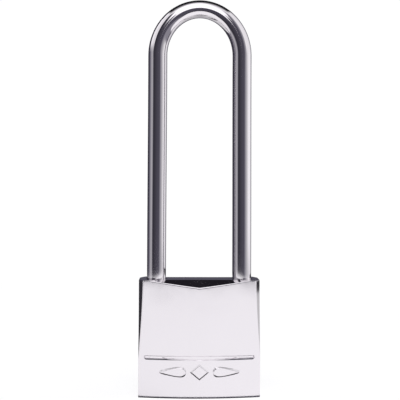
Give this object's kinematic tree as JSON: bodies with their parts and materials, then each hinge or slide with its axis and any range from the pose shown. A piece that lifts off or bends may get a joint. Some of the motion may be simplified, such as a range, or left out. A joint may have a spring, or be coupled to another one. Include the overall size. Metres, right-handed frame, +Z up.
{
  "type": "padlock",
  "caption": "Small solid-body padlock with a long round shackle, crowned plated body, keyed brass plug in the underside and sliding latch levers inside.",
  "frame": {"origin": "centre of the body's flat underside", "axes": "+Z up towards the top of the shackle, front face towards -Y, heel leg at -X, toe leg at +X"},
  "size_m": [0.03, 0.0129, 0.0986],
  "materials": {
    "body_plating": "satin nickel-chrome plating, almost mirror bright, very fine vertical buffing",
    "shackle_plating": "bright chrome plated hardened steel",
    "plug_brass": "turned brass",
    "pin_brass": "turned brass",
    "cap_brass": "pressed in and dressed flush",
    "hard_steel": "ground hardened steel",
    "lever_steel": "stamped steel",
    "spring_wire": "drawn spring wire"
  },
  "bodies": {
    "housing": {"body": "body_plating", "latch_spring": "spring_wire", "shackle_spring": "spring_wire", "shackle_retaining_pin": "hard_steel", "plug_retaining_pin": "hard_steel", "driver_pin_1": "pin_brass", "driver_pin_2": "pin_brass", "driver_pin_3": "pin_brass", "driver_pin_4": "pin_brass", "driver_spring_1": "spring_wire", "driver_spring_2": "spring_wire", "driver_spring_3": "spring_wire", "driver_spring_4": "spring_wire", "chamber_cap_1": "cap_brass", "chamber_cap_2": "cap_brass", "chamber_cap_3": "cap_brass", "chamber_cap_4": "cap_brass"},
    "shackle_body": {"shackle": "shackle_plating"},
    "lock_cylinder": {"plug": "plug_brass", "cam": "hard_steel", "key_pin_1": "pin_brass", "key_pin_2": "pin_brass", "key_pin_3": "pin_brass", "key_pin_4": "pin_brass"},
    "toe_latch": {"toe_lever": "lever_steel"},
    "heel_latch": {"heel_lever": "lever_steel"}
  },
  "joints": [
    {"name": "shackle_lift", "type": "slide", "parent": "housing", "child": "shackle_body", "axis": [0, 0, 1], "range_m": [0, 0.0094], "deforming": ["shackle_spring"]},
    {"name": "plug_turn", "type": "hinge", "parent": "housing", "child": "lock_cylinder", "pos_m": [0, 0, 0], "axis": [0, 0, 1], "range_deg": [-90, 0]},
    {"name": "toe_lever_slide", "type": "slide", "parent": "housing", "child": "toe_latch", "axis": [1, 0, 0], "range_m": [0, 0.00283], "deforming": ["latch_spring"]},
    {"name": "heel_lever_slide", "type": "slide", "parent": "housing", "child": "heel_latch", "axis": [-1, 0, 0], "range_m": [0, 0.00283]}
  ],
  "couplings": [
    {"joint": "plug_turn", "follows": "toe_lever_slide", "rad_per_m": -555.36},
    {"joint": "heel_lever_slide", "follows": "toe_lever_slide", "ratio": 1}
  ]
}
